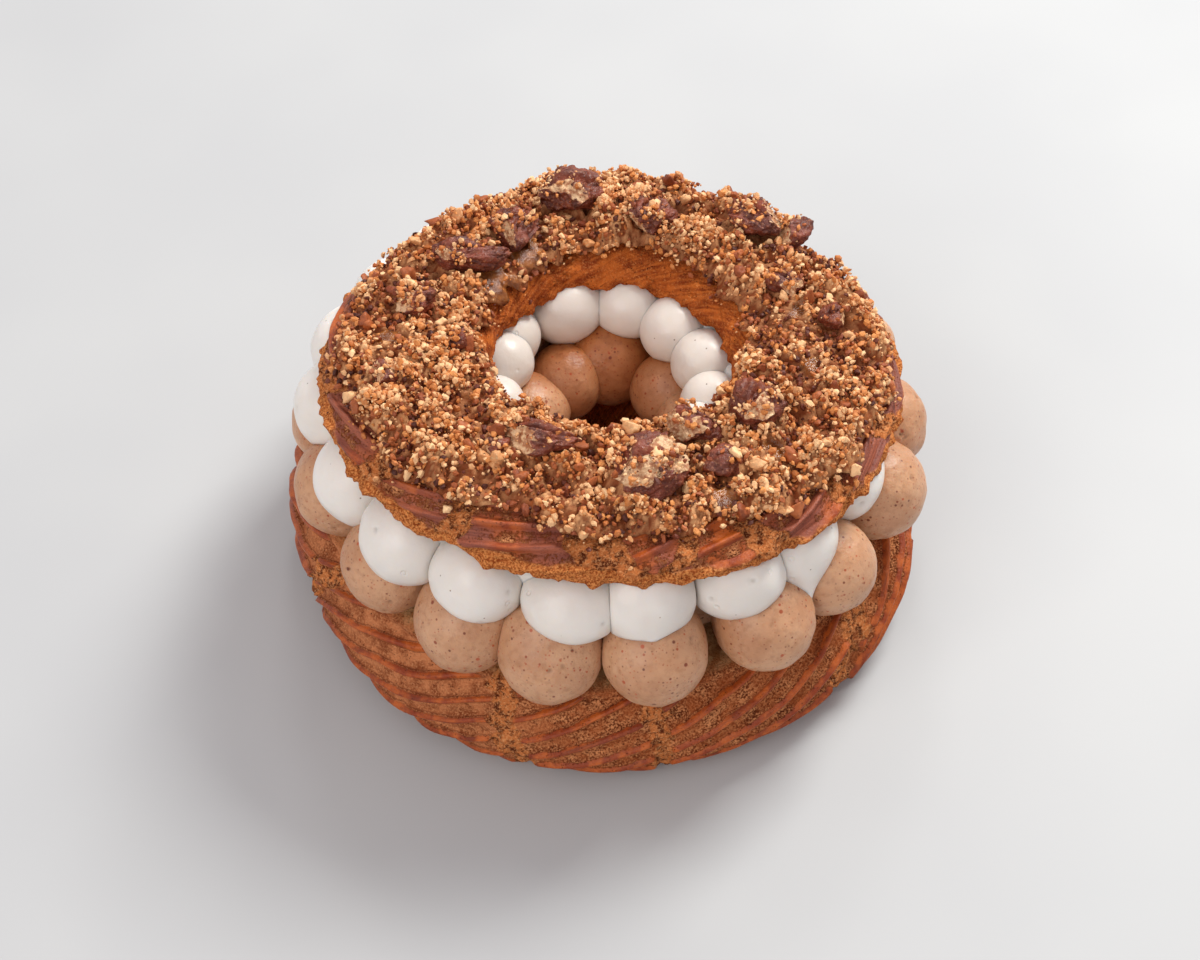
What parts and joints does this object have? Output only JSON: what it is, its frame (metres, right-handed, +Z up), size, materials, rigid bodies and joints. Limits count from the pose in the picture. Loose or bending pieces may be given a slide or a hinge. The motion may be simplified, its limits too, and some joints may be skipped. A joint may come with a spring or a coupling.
{
  "type": "paris brest pastry",
  "caption": "Ring of split choux pastry filled with piped nut cream and vanilla cream, its cap heaped with nut crumble and pecan pieces. A cake for one that rests on its flat base.",
  "frame": {"origin": "on the table, under the middle of the pastry's box", "axes": "+Z up out of the table, +X to the right and -Y towards the viewer of its front"},
  "size_m": [0.0997, 0.0973, 0.0541],
  "materials": {
    "choux_crust": "baked choux crust, golden to red-brown, satin on its ridges and dull on its cut and torn faces",
    "nut_cream": "tan praline cream, satin, with fine brown nut specks",
    "vanilla_cream": "ivory whipped cream, smooth satin, with a few vanilla specks",
    "nut_crumble": "dull golden and brown nut crumbs, with a few patches of shiny caramel",
    "pecan_skin": "dark red-brown pecan skin, with pale beige broken faces"
  },
  "bodies": {
    "root": {"base_choux": "choux_crust", "nut_cream": "nut_cream", "vanilla_cream": "vanilla_cream", "cap_choux": "choux_crust", "crumble_topping": "nut_crumble", "pecan_01": "pecan_skin", "pecan_02": "pecan_skin", "pecan_03": "pecan_skin", "pecan_04": "pecan_skin", "pecan_05": "pecan_skin", "pecan_06": "pecan_skin", "pecan_07": "pecan_skin", "pecan_08": "pecan_skin", "pecan_09": "pecan_skin"}
  },
  "joints": []
}
